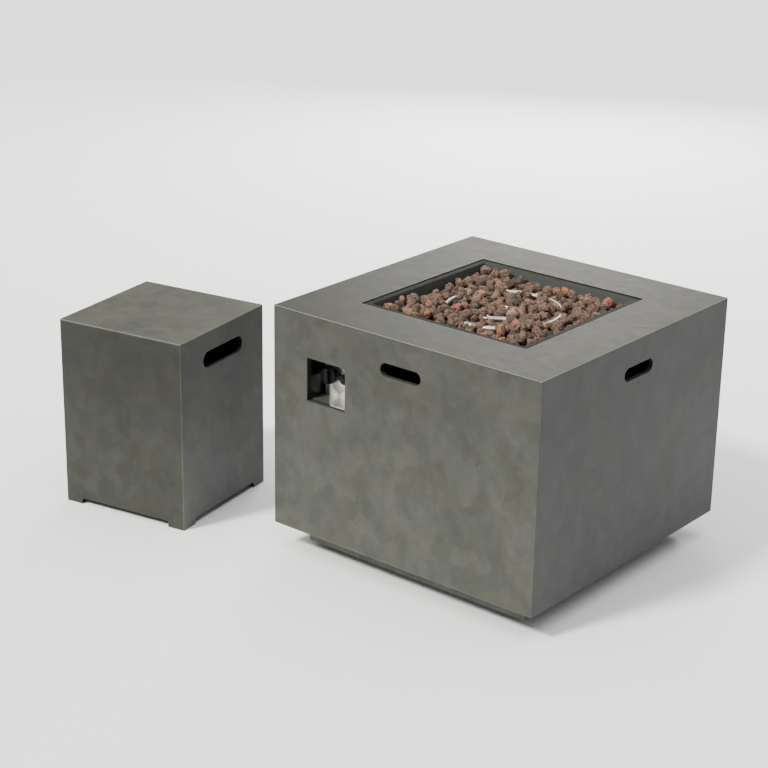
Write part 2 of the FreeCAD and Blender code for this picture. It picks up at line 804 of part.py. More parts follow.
def feed_pipe():
    begin = vec(knob_x, outlet_end, control_z)
    out = begin + back * pipe_run
    low = jet_bottom - pipe_drop
    points = [begin, out, between(out, centre, 0.35, low + pipe_bend), between(out, centre, 0.7, low),
              vec(0, 0, low), vec(0, 0, jet_bottom)]
    path = route(points, pipe_bend)
    return along(path, pipe_radius).cut(along(path, pipe_radius - pipe_wall))


def feed_pipe_nuts():
    bore = pipe_radius + slip
    valve_end = vec(knob_x, outlet_end, control_z)
    jet_end = vec(0, 0, jet_bottom - pipe_nut_length)
    at_valve = hexagon(pipe_nut_across, pipe_nut_length, bore, valve_end, back)
    at_jet = hexagon(pipe_nut_across, pipe_nut_length, bore, jet_end)
    return Part.makeCompound([at_valve, at_jet])


# ---------------------------------------------------------------- control box
def box_screw_places():
    side = recess_width / 2 + box_lap / 2
    rise = recess_height / 2 + box_lap / 2
    return [vec(recess_x + x * side, 0, recess_z + z * rise) for x in (-1, 1) for z in (-1, 1)]


def control_box():
    half_x = recess_width / 2 - box_reveal
    half_z = recess_height / 2 - box_reveal
    body = window(half_x + box_sheet, half_z + box_sheet, recess_x, recess_z, -shell_inner, panel_back, 2.0)
    lap_x = recess_width / 2 + box_lap
    lap_z = recess_height / 2 + box_lap
    body = body.fuse(window(lap_x, lap_z, recess_x, recess_z, -shell_inner, -shell_inner + box_sheet))
    body = body.cut(window(half_x, half_z, recess_x, recess_z, -shell_inner - 1, panel_front, 0.8))
    openings = [(knob_x, bonnet_radius), (igniter_x, barrel_radius)]
    openings += [(knob_x + side, screw_radius) for side in (-valve_screw_side, valve_screw_side)]
    for x, radius in openings:
        hole = vec(x, panel_front - box_sheet, control_z)
        body = body.cut(rod(radius + slip, 3 * box_sheet, hole, back))
    for base in box_screw_places():
        hole = vec(base.x, -shell_inner - box_sheet, base.z)
        body = body.cut(rod(screw_radius + slip, 3 * box_sheet, hole, back))
    return body.removeSplitter()


def box_screw(base):
    fastener = screw(screw_radius, screw_head_radius, screw_head, box_sheet + screw_bite)
    return aimed(fastener, vec(base.x, -shell_inner + box_sheet, base.z), back)


# ---------------------------------------------------------------- gas valve
def d_bar(radius, near_y, far_y):
    # round bar with one flat on top
    bar = rod(radius, far_y - near_y, vec(knob_x, near_y, control_z), back)
    flat_level = control_z + stem_radius - stem_flat + (radius - stem_radius)
    trim = Part.makeBox(2 * radius, far_y - near_y, radius, vec(knob_x - radius, near_y, flat_level))
    return bar.cut(trim)


def plug_cone(grow):
    return Part.makeCone(plug_front_radius + grow, plug_rear_radius + grow, plug_length,
                         vec(knob_x, plug_front, control_z), back)


def valve_body():
    axis = vec(knob_x, panel_back, control_z)
    body = rod(valve_radius, valve_back - panel_back, axis, back)
    rear = [edge for edge in body.Edges if edge.CenterOfMass.y > valve_back - 0.01]
    body = body.makeFillet(2, rear)
    body = body.fuse(window(valve_ear_half, valve_ear_height, knob_x, control_z, panel_back,
                            panel_back + valve_ear_sheet, 4))
    bonnet = vec(knob_x, bonnet_front, control_z)
    ports = vec(knob_x, port_line, control_z)
    body = body.fuse(rod(bonnet_radius, panel_back - bonnet_front + 1, bonnet, back))
    body = body.fuse(rod(boss_radius, inlet_reach, ports, down))
    body = body.fuse(rod(boss_radius, outlet_end - port_line, ports, back))
    body = body.fuse(rod(probe_boss_radius, probe_boss_reach, ports, left))
    body = body.cut(plug_cone(slip))
    body = body.cut(rod(stem_radius + slip, plug_front - bonnet_front, bonnet, back))
    body = body.cut(rod(bonnet_bore, bonnet_bore_depth, bonnet, back))
    body = body.cut(rod(gas_bore, inlet_reach, ports, down))
    body = body.cut(rod(gas_bore, outlet_end - port_line, ports, back))
    for side in (-valve_screw_side, valve_screw_side):
        hole = vec(knob_x + side, panel_back - 1, control_z)
        body = body.cut(rod(screw_radius + slip, screw_bite, hole, back))
    return body.removeSplitter()


def valve_plug():
    body = plug_cone(0)
    body = body.cut(d_bar(stem_radius + slip, plug_front, stem_inner + knob_travel + knob_clearance))
    body = body.cut(rod(plug_bore, plug_length, vec(knob_x, stem_inner, control_z), back))
    return body.cut(rod(plug_bore, plug_front_radius + 2, vec(knob_x, port_line, control_z), right))


def valve_stem():
    # flats at both ends: one drives the plug, the other carries the knob
    drive_start = plug_front - knob_travel - stem_flat_run
    drive = d_bar(stem_radius, drive_start, stem_inner)
    nose = d_bar(stem_radius, stem_outer, stem_nose)
    shank = rod(stem_radius, drive_start - stem_nose, vec(knob_x, stem_nose, control_z), back)
    collar = rod(stem_collar_radius, stem_collar, vec(knob_x, bonnet_front - stem_collar, control_z), back)
    return shank.fuse([drive, nose, collar]).removeSplitter()


def stem_spring():
    length = bonnet_bore_depth - 2 * spring_gap
    start = vec(knob_x, bonnet_front + spring_gap, control_z)
    return coil(stem_spring_radius, length, spring_turns, start, back)


def control_knob():
    skirt = rod(knob_radius, knob_skirt, vec(knob_x, knob_rear, control_z), front)
    rim = [edge for edge in skirt.Edges if edge.CenterOfMass.y < knob_rear - knob_skirt + 0.01]
    skirt = skirt.makeFillet(3, rim)
    dome = rod(knob_radius - 2.5, knob_grip, vec(knob_x, knob_rear - knob_skirt, control_z), front)
    base = knob_rear - knob_skirt
    bar = window(knob_grip_width / 2, knob_radius, knob_x, control_z, grip_front - 1, base + 1)
    grip = dome.common(bar)
    face = [edge for edge in grip.Edges if edge.CenterOfMass.y < grip_front + 0.01]
    grip = grip.makeFillet(1.8, face)
    hollow = rod(knob_radius - knob_wall, knob_skirt - knob_wall, vec(knob_x, knob_rear, control_z), front)
    reach = knob_boss_rear - grip_front - knob_face
    boss = rod(knob_boss_radius, reach, vec(knob_x, knob_boss_rear, control_z), front)
    body = skirt.fuse(grip).cut(hollow).fuse(boss)
    return body.cut(d_bar(stem_radius + slip, stem_outer - 1, knob_boss_rear)).removeSplitter()


def valve_screw(side):
    fastener = screw(screw_radius, screw_head_radius, screw_head, box_sheet + screw_bite - 2)
    return aimed(fastener, vec(knob_x + side, panel_front, control_z), front)


def gas_inlet_fitting():
    top = control_z - inlet_reach
    base = vec(knob_x, port_line, top - inlet_hex_height)
    body = hexagon(inlet_hex_across, inlet_hex_height, 0, base)
    body = body.fuse(rod(gas_bore - slip, screw_bite, vec(knob_x, port_line, top)))
    body = body.fuse(rod(flare_radius, flare_length, base, down))
    nose = vec(knob_x, port_line, base.z - flare_length)
    body = body.fuse(Part.makeCone(flare_radius - 1, flare_radius - 3.5, flare_nose, nose, down))
    length = screw_bite + inlet_hex_height + flare_length + flare_nose
    return body.cut(rod(plug_bore, length, vec(knob_x, port_line, top + screw_bite), down)).removeSplitter()


# ---------------------------------------------------------------- igniter
def igniter_point(y, rise=0.0):
    return vec(igniter_x, y, control_z + rise)


def igniter_body():
    body = rod(barrel_radius, barrel_end - barrel_nose, igniter_point(barrel_nose), back)
    body = body.fuse(rod(igniter_flange_radius, igniter_flange, igniter_point(panel_front), front))
    hollow = barrel_end - barrel_end_wall - barrel_nose
    body = body.cut(rod(barrel_bore, hollow, igniter_point(barrel_nose), back))
    tab_level = control_z - terminal_rise
    earth_tab = window(2.5, 0.4, igniter_x, tab_level, barrel_end - 0.5, barrel_end + terminal_length)
    return body.fuse(earth_tab).removeSplitter()


def igniter_nut():
    base = igniter_point(panel_back)
    return hexagon(igniter_nut_across, igniter_nut_height, barrel_radius + slip, base, back)


def igniter_cap():
    body = rod(cap_radius, cap_length, igniter_point(cap_rear), front)
    rim = [edge for edge in body.Edges if edge.CenterOfMass.y < cap_front + 0.01]
    body = body.makeFillet(1.5, rim)
    ribs = []
    for step in range(12):
        angle = math.radians(30 * step)
        place = igniter_point(cap_rear) + vec(math.cos(angle), 0, math.sin(angle)) * (cap_radius + 0.4)
        ribs.append(rod(1.0, cap_length - 3, place, front))
    body = body.cut(ribs)
    rear = igniter_point(cap_rear)
    body = body.cut(rod(barrel_radius + slip, cap_length - cap_front_wall, rear, front))
    return body.cut(rod(button_radius + slip, cap_length, rear, front)).removeSplitter()


def igniter_button():
    length = button_flange + cap_front_wall + button_proud
    body = rod(button_radius, length, igniter_point(button_rear), front)
    face = [edge for edge in body.Edges if edge.CenterOfMass.y < cap_front - button_proud + 0.01]
    body = body.makeFillet(1.2, face)
    flange = rod(button_flange_radius, button_flange, igniter_point(button_rear), front)
    hollow = rod(button_bore, button_bore_depth, igniter_point(button_rear), front)
    return body.fuse(flange).cut(hollow).removeSplitter()


def igniter_battery():
    cell = rod(battery_radius, battery_length - 1, igniter_point(battery_front + 1), back)
    return cell.fuse(rod(1.9, 1.5, igniter_point(battery_front), back)).removeSplitter()


def battery_spring():
    start = igniter_point(battery_front + battery_length + spring_gap)
    length = battery_spring_length - 2 * spring_gap
    return coil(battery_spring_radius, length, battery_spring_turns, start, back)


def button_spring():
    start = button_rear - button_bore_depth + spring_gap
    length = battery_front - spring_gap - start
    return coil(button_spring_radius, length, spring_turns, igniter_point(start), back)


# ---------------------------------------------------------------- lava rock
def burner_clearances():
    # the room that the burner and its fittings take out of the rock
    gap = rock_gap
    room = [Part.makeTorus(ring_radius, ring_tube_radius + gap, vec(0, 0, ring_level))]
    room.append(rod(cross_tube_radius + gap, 2 * ring_radius, vec(-ring_radius, 0, ring_level), right))
    column = max(hub_radius, burner_nut_across / math.sqrt(3)) + gap
    room.append(rod(column, hub_bottom + hub_height + gap - pan_floor, vec(0, 0, pan_floor)))
    for degrees in post_angles():
        post = Part.makeBox(post_foot + 3, post_width + 2 * gap, ring_level - pan_floor,
                            vec(ring_radius - post_foot - gap, -post_width / 2 - gap, pan_floor))
        room.append(turned(post, degrees))
    start = bracket_place - lead_hole_offset - lead_hole_radius
    stop = bracket_place + bracket_sheet + bracket_foot + gap
    width = bracket_half_width + gap
    depth = shield_level + shield_radius + 3 - pan_floor
    room.append(pilot_place(Part.makeBox(stop - start, 2 * width, depth, vec(start, -width, pan_floor))))
    shield = vec(-shield_length / 2, 0, shield_level)
    room.append(pilot_place(rod(shield_radius + gap, shield_length + gap, shield, right)))
    return room


def rock_height(x, y, dice):
    # heaped over the burner's middle, lower at the ring and at the pan's walls
    reach = math.hypot(x, y)
    heap = math.exp(-(reach / rock_heap_radius) ** 4)
    level = pit_height - rock_edge_drop + (rock_edge_drop - rock_middle_drop) * heap
    groove = rock_groove * math.exp(-((reach - ring_radius) / rock_groove_width) ** 2)
    return level - groove + dice.uniform(-rock_roughness, rock_roughness)


def lava_rock_bed():
    dice = random.Random(5)
    half = pan_half - rock_gap
    step = 2 * half / rock_cells
    grid = []
    for i in range(rock_cells + 1):
        row = []
        for j in range(rock_cells + 1):
            inside = 0 < i < rock_cells and 0 < j < rock_cells
            shift = step * 0.22 if inside else 0
            x = -half + i * step + dice.uniform(-shift, shift)
            y = -half + j * step + dice.uniform(-shift, shift)
            row.append(vec(x, y, rock_height(x, y, dice)))
        grid.append(row)
    faces = []
    for i in range(rock_cells):
        for j in range(rock_cells):
            a, b, c, d = grid[i][j], grid[i + 1][j], grid[i + 1][j + 1], grid[i][j + 1]
            faces.append(Part.Face(Part.makePolygon([a, b, c, a])))
            faces.append(Part.Face(Part.makePolygon([a, c, d, a])))
    near = [row[0] for row in grid]
    far = [row[-1] for row in grid]
    rim = near + grid[-1][1:] + far[-2::-1] + grid[0][-2:0:-1]
    floor = [vec(point.x, point.y, pan_floor) for point in rim]
    for k in range(len(rim)):
        n = (k + 1) % len(rim)
        faces.append(Part.Face(Part.makePolygon([rim[k], rim[n], floor[n], floor[k], rim[k]])))
    faces.append(Part.Face(Part.makePolygon(floor + floor[:1])))
    bed = Part.Solid(Part.Shell(faces))
    corner = block(half, half, pan_floor - 1, pit_height, pan_corner_radius)
    return bed.common(corner).cut(burner_clearances())


# ---------------------------------------------------------------- gas-bottle cover
def tank_cover():
    half = cover_width / 2
    inner = half - cover_wall
    body = block(half, half, 0, cover_height, cover_corner_radius)
    arris = [edge for edge in body.Edges if edge.CenterOfMass.z > cover_height - 0.01]
    body = body.makeFillet(cover_edge_radius, arris)
    body = body.cut(block(inner, inner, -1, cover_height - cover_top, cover_wall))
    gap = half - leg_width
    notch = window(gap, leg_height, 0, 0, -half - 1, half + 1, leg_corner_radius)
    body = body.cut([notch, turned(notch, 90)])
    slot = slot_bar(cover_slot_length, cover_slot_height, cover_slot_level, -half - 1, half + 1)
    body = body.cut(turned(slot, 90))
    body = turned(body.removeSplitter(), cover_turn)
    body.translate(vec(cover_x, cover_y, 0))
    return body


# ---------------------------------------------------------------- all pieces
keep("pit_shell", pit_shell())
keep("plinth", plinth())
keep("base_frame", base_frame())
keep("shell_screws", Part.makeCompound([shell_screw(*place) for place in shell_screw_places()]))
keep("plinth_screws", Part.makeCompound([plinth_screw(base) for base in plinth_screw_places()]))
keep("foot_inserts", Part.makeCompound([foot_insert(place) for place in foot_places()]))
keep("foot_lock_nuts", Part.makeCompound([foot_lock_nut(place) for place in foot_places()]))
for number, place in enumerate(foot_places(), 1):
    keep(f"foot_pad_{number}", foot_pad(place))
    keep(f"foot_stud_{number}", foot_stud(place))
keep("burner_pan", burner_pan())
keep("ring_burner", ring_burner())
keep("burner_nipple", burner_nipple())
keep("burner_lock_nuts", burner_lock_nuts())
keep("burner_posts", Part.makeCompound([burner_post(degrees) for degrees in post_angles()]))
post_screws = [floor_screw(base, post_sheet) for base in post_screw_places()]
keep("burner_post_screws", Part.makeCompound(post_screws))
keep("pilot_bracket", pilot_bracket())
keep("pilot_screw", floor_screw(pilot_screw_place(), bracket_sheet))
keep("pilot_shield", pilot_shield())
keep("spark_electrode", spark_electrode())
keep("thermocouple", thermocouple())
keep("igniter_lead", igniter_lead())
keep("air_mixer", air_mixer())
keep("gas_jet", gas_jet())
keep("feed_pipe", feed_pipe())
keep("feed_pipe_nuts", feed_pipe_nuts())
keep("control_box", control_box())
keep("control_box_screws", Part.makeCompound([box_screw(base) for base in box_screw_places()]))
keep("valve_body", valve_body())
keep("valve_plug", valve_plug())
keep("valve_stem", valve_stem())
keep("stem_spring", stem_spring())
keep("valve_screws", Part.makeCompound([valve_screw(-valve_screw_side), valve_screw(valve_screw_side)]))
keep("control_knob", control_knob())
keep("gas_inlet_fitting", gas_inlet_fitting())
keep("igniter_body", igniter_body())
keep("igniter_nut", igniter_nut())
keep("igniter_cap", igniter_cap())
keep("igniter_button", igniter_button())
keep("igniter_battery", igniter_battery())
keep("battery_spring", battery_spring())
keep("button_spring", button_spring())
keep("lava_rock_bed", lava_rock_bed())
keep("tank_cover", tank_cover())

os.makedirs("parts", exist_ok=True)
for name, shape in parts.items():
    shape.exportStep(f"parts/{name}.step")
print(len(parts), "nodes")
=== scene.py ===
import bpy
import bmesh
import math
import random
from mathutils import Matrix, Quaternion, Vector, noise


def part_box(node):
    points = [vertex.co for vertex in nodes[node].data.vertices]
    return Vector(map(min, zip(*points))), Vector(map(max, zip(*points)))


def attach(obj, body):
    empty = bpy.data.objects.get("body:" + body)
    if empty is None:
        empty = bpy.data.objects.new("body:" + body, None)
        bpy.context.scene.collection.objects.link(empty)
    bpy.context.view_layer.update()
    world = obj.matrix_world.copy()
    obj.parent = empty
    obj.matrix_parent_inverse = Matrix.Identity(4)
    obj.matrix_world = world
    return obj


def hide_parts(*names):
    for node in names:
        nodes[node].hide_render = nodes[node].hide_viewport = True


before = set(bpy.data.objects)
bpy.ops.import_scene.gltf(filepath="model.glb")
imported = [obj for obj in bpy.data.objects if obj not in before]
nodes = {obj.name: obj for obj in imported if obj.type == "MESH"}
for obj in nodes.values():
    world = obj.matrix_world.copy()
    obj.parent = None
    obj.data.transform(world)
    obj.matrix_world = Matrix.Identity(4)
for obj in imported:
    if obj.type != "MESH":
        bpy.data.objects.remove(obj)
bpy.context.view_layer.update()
print("frame loaded:", len(nodes), "pieces")


def addItem(name, data):
    item = bpy.data.objects.new(name, data)
    bpy.context.scene.collection.objects.link(item)
    return item


def standAt(place, turn):
    return Matrix.Translation(Vector(place)) @ turn.to_matrix().to_4x4()


camera = {
    "place": (2.6181, -3.6432, 2.1099),
    "azimuth": -39.323,
    "elevation": 20.770,
    "roll": 0.947,
    "lens": 92.0,
    "sensor": 36,
    "farthest": 500,         # the floor's far edge, for low views
}


def makeCamera(setup):
    azimuth, elevation = math.radians(setup["azimuth"]), math.radians(setup["elevation"])
    flat = math.cos(elevation)
    forward = Vector((flat * math.sin(azimuth), flat * math.cos(azimuth), -math.sin(elevation)))
    turn = forward.to_track_quat("-Z", "Y") @ Quaternion((0, 0, 1), math.radians(setup["roll"]))
    data = bpy.data.cameras.new("viewCamera")
    data.lens = setup["lens"]
    data.sensor_width = setup["sensor"]
    data.clip_end = setup["farthest"]
    item = addItem("viewCamera", data)
    item.matrix_world = standAt(setup["place"], turn)
    bpy.context.scene.camera = item


makeCamera(camera)

lights = {
    # far soft lamps, even over the whole floor: where each stands, how wide it looks in degrees
    "key": {"place": (-1.35, -3.98, 4.35), "wide": 10, "power": 4.9, "colour": (1.0, 0.975, 0.93)},
    "overhead": {"place": (0.2, 0.3, 4.0), "wide": 75, "power": 2.4, "colour": (1.0, 0.985, 0.96)},
    # one near soft box for the sheen on the tops
    "sheen": {"place": (-2.56, 4.0, 1.8), "aim": (-0.1, 0, 0.5), "size": 1.8, "power": 156,
              "colour": (1, 0.98, 0.93)},
}


def makeLight(name, setup):
    near = "size" in setup
    data = bpy.data.lights.new(name, "AREA" if near else "SUN")
    data.energy = setup["power"]
    data.color = setup["colour"]
    if near:
        data.shape = "SQUARE"
        data.size = setup["size"]
    else:
        data.angle = math.radians(setup["wide"])
    aim = Vector(setup.get("aim", (0, 0, 0))) - Vector(setup["place"])
    addItem(name, data).matrix_world = standAt(setup["place"], aim.to_track_quat("-Z", "Y"))


for name, setup in lights.items():
    makeLight(name, setup)

studio = {"colour": (0.93, 0.95, 1.0), "strength": 0.55}


def makeWorld(setup):
    world = bpy.data.worlds.new("studio")
    world.use_nodes = True
    inputs = world.node_tree.nodes["Background"].inputs
    inputs["Color"].default_value = (*setup["colour"], 1)
    inputs["Strength"].default_value = setup["strength"]
    bpy.context.scene.world = world


makeWorld(studio)


class Wire:
    # a socket that takes part in plain maths
    def __init__(self, finish, socket):
        self.finish = finish
        self.socket = socket

    def maths(self, operation, *values):
        item = self.finish.node("Math", {"operation": operation}, dict(enumerate(values)))
        return Wire(self.finish, item.outputs[0])

    def __add__(self, other):
        return self.maths("ADD", self, other)

    def __sub__(self, other):
        return self.maths("SUBTRACT", self, other)

    def __rsub__(self, other):
        return self.maths("SUBTRACT", other, self)

    def __mul__(self, other):
        return self.maths("MULTIPLY", self, other)

    def __abs__(self):
        return self.maths("ABSOLUTE", self)

    __radd__ = __add__
    __rmul__ = __mul__

    def atLeast(self, other):
        return self.maths("MAXIMUM", self, other)

    def atMost(self, other):
        return self.maths("MINIMUM", self, other)


class Finish:
    # one material: a principled shader and the nodes that feed it
    def __init__(self, name, **values):
        self.material = bpy.data.materials.new(name)
        self.material.use_nodes = True
        self.tree = self.material.node_tree
        self.tree.nodes.clear()
        self.shader = self.node("BsdfPrincipled")
        self.paint(**values)
        self.node("OutputMaterial", {}, {"Surface": Wire(self, self.shader.outputs[0])})
        self.place = Wire(self, self.node("TexCoord").outputs["Object"])

    def node(self, kind, settings=None, values=None):
        item = self.tree.nodes.new("ShaderNode" + kind)
        for name, value in (settings or {}).items():
            if name == "stops":
                self.setStops(item.color_ramp, value)
            else:
                setattr(item, name, value)
        self.feed(item, values or {})
        return item

    def setStops(self, ramp, stops):
        while len(ramp.elements) < len(stops):
            ramp.elements.new(0.5)
        for element, (position, colour) in zip(ramp.elements, stops):
            element.position = position
            element.color = (*colour, 1)

    def feed(self, item, values):
        for name, value in values.items():
            if isinstance(value, Wire):
                self.tree.links.new(value.socket, item.inputs[name])
            elif isinstance(value, tuple) and len(value) == 3 and item.inputs[name].type == "RGBA":
                item.inputs[name].default_value = (*value, 1)
            else:
                item.inputs[name].default_value = value

    def paint(self, **values):
        self.feed(self.shader, {name.replace("_", " "): value for name, value in values.items()})

    def grain(self, scale, detail=3, roughness=0.5, distortion=0, place=None):
        item = self.node("TexNoise", {},
                         {"Vector": place or self.place, "Scale": scale, "Detail": detail,
                          "Roughness": roughness, "Distortion": distortion})
        return Wire(self, item.outputs[0])

    def cells(self, scale, place=None):
        item = self.node("TexVoronoi", {"feature": "F1"},
                         {"Vector": place or self.place, "Scale": scale})
        return Wire(self, item.outputs["Distance"])

    def patches(self, scale, smoothness, place):
        # one random value for each cell, melting into the next
        item = self.node("TexVoronoi", {"feature": "SMOOTH_F1"},
                         {"Vector": place, "Scale": scale, "Smoothness": smoothness})
        return Wire(self, item.outputs["Color"])

    def stretch(self, scale, place=None, turn=(0, 0, 0), start=(0, 0, 0)):
        item = self.node("Mapping", {}, {"Vector": place or self.place, "Scale": scale,
                                         "Rotation": turn, "Location": start})
        return Wire(self, item.outputs[0])

    def settle(self, centre, degrees):
        # the place, seen from a piece that stands elsewhere and turned
        turn = (0, 0, math.radians(degrees))
        item = self.node("Mapping", {"vector_type": "TEXTURE"},
                         {"Vector": self.place, "Location": centre, "Rotation": turn})
        return Wire(self, item.outputs[0])

    def stir(self, scale, amount, place=None):
        # the place, pushed about by a coloured noise
        place = place or self.place
        push = self.node("TexNoise", {}, {"Vector": place, "Scale": scale, "Detail": 2})
        item = self.node("VectorMath", {"operation": "MULTIPLY_ADD"},
                         {0: Wire(self, push.outputs[1]), 1: (amount,) * 3, 2: place})
        return Wire(self, item.outputs[0])

    def ease(self, value, low, high, start=0.0, end=1.0):
        item = self.node("MapRange", {"interpolation_type": "SMOOTHSTEP"},
                         {"Value": value, "From Min": low, "From Max": high,
                          "To Min": start, "To Max": end})
        return Wire(self, item.outputs[0])

    def mix(self, amount, first, second, blend="MIX"):
        item = self.node("Mix", {"data_type": "RGBA", "blend_type": blend},
                         {0: amount, 6: first, 7: second})
        return Wire(self, item.outputs[2])

    def tint(self, first, second):
        return self.mix(1.0, first, second, "MULTIPLY")

    def wash(self, base, pattern, low, high, share, colour):
        # a share of the colour over the base, where the pattern has come from low to high
        return self.mix(self.ease(pattern, low, high) * share, base, colour)

    def ramp(self, value, stops):
        item = self.node("ValToRGB", {"stops": stops}, {"Fac": value})
        return Wire(self, item.outputs[0])

    def bump(self, height, distance, strength=1.0, under=None):
        values = {"Height": height, "Distance": distance, "Strength": strength}
        if under:
            values["Normal"] = under
        return Wire(self, self.node("Bump", {}, values).outputs[0])

    def axes(self, place=None):
        item = self.node("SeparateXYZ", {}, {"Vector": place or self.place})
        return [Wire(self, output) for output in item.outputs]

    def facing(self):
        # the three parts of the way that the surface faces
        return self.axes(Wire(self, self.node("NewGeometry").outputs["Normal"]))


def rgb(*screen):
    # from screen values, over 10 and up to 255, to the linear ones that the shaders take
    return tuple(((value / 255 + 0.055) / 1.055) ** 2.4 for value in screen)


def dimmed(colour, share):
    return tuple(part * share for part in colour)


floor = {"half": 200, "scale": 0.7, "tones": (rgb(245, 245, 245), rgb(248, 248, 248)), "rough": 0.9}


def makeFloor(setup):
    mesh = bpy.data.meshes.new("floor")
    shape = bmesh.new()
    bmesh.ops.create_grid(shape, x_segments=2, y_segments=2, size=setup["half"])
    shape.to_mesh(mesh)
    shape.free()
    item = addItem("floor", mesh)
    pale = Finish("paleFloor", Roughness=setup["rough"])
    pale.paint(Base_Color=pale.mix(pale.grain(setup["scale"], 2), *setup["tones"]))
    mesh.materials.append(pale.material)


makeFloor(floor)
print("camera, lights and floor made")

castStone = {
    "middle": rgb(65, 67, 61),
    "olive": rgb(67, 67, 56),
    "cool": rgb(62, 65, 62),
    "warm": rgb(69, 65, 60),
    "pale": rgb(84, 84, 78),
    "deep": rgb(48, 49, 45),
    # painted shade in the air holes
    "airHole": rgb(30, 30, 28),
    # the paler edges, partly real wear and partly painted highlight; also the pale flecks
    "edge": rgb(150, 150, 139),
    # painted shade on the inner faces
    "inside": rgb(22, 22, 21),
    "shine": 0.19,
    "shadeEvening": 0.4,             # painted shade: how far the patina is evened towards the middle tone on the right-hand side
}

stoneEdge = {
    "upright": 0.0020, "brim": 0.0022, "foot": 0.0016,       # how wide each edge is paler, from wear and painted highlight
    "uprightShare": 0.5, "footShare": 0.6,                   # how much, next to the brim
    "past": 0.0004,          # the wear is full this far past the corner
    "ragged": 0.0012,        # how far the fine grain shifts it
    "mouth": (0.0020, 0.0006),       # it begins and is full this near to the opening
    "lip": 0.0015,           # and reaches this far down there
    "least": 0.12, "spread": 0.22,   # how strong the rubs and the painted highlight are
    "shadeDepths": (0.0012, 0.0026),        # the painted shade on the inner faces fades in between these depths
}


def castStonePatina(stone, place):
    # the rubbed wash: its colour, and the patterns that the relief needs too
    rubbed = stone.stir(14, 0.04, stone.stretch((1, 1, 0.85), place))
    aside = stone.stretch((1, 1, 0.75), place, (0, 0, 0.4), (3.1, 1.7, 0.9))
    dabs = stone.patches(22, 0.4, rubbed)
    dabsOver = stone.patches(37, 0.3, stone.stir(20, 0.03, aside))
    cloud = stone.grain(4.5, 3, 0.5, 0.4, aside)
    mottle = stone.grain(34, 4, 0.6, 0.3, rubbed)
    fine = stone.grain(260, 3, 0.6, 0, place)
    # pattern, from, to, share and tone of each layer
    layers = [
        (stone.grain(13, 3, 0.5, 0.6, rubbed), 0.42, 0.64, 0.75, "olive"),
        (stone.grain(12, 3, 0.55, 0.8, aside), 0.46, 0.64, 0.70, "cool"),
        (stone.grain(19, 3, 0.5, 0.4, aside), 0.54, 0.70, 0.60, "warm"),
        (dabs, 0.48, 0.78, 0.16, "pale"),
        (dabs, 0.50, 0.22, 0.22, "deep"),
        (dabsOver, 0.52, 0.80, 0.14, "pale"),
        (dabsOver, 0.46, 0.20, 0.15, "deep"),
        (cloud, 0.52, 0.72, 0.20, "pale"),
        (cloud, 0.48, 0.30, 0.26, "deep"),
        (mottle, 0.50, 0.74, 0.22, "pale"),
        (mottle, 0.48, 0.26, 0.24, "deep"),
        (fine, 0.45, 0.75, 0.16, "pale"),
        (stone.cells(26, aside), 0.055, 0.030, 0.12, "edge"),     # a few pale flecks
    ]
    base = castStone["middle"]
    for pattern, low, high, share, tone in layers:
        base = stone.wash(base, pattern, low, high, share, castStone[tone])
    # little air holes of the casting, in loose groups, darkened as painted shade
    groups = stone.ease(stone.grain(6, 2, 0.5, 0, place), 0.58, 0.74)
    holes = stone.ease(stone.cells(170, place), 0.15, 0.06) * groups
    return stone.mix(holes * 0.5, base, castStone["airHole"]), mottle, fine, holes


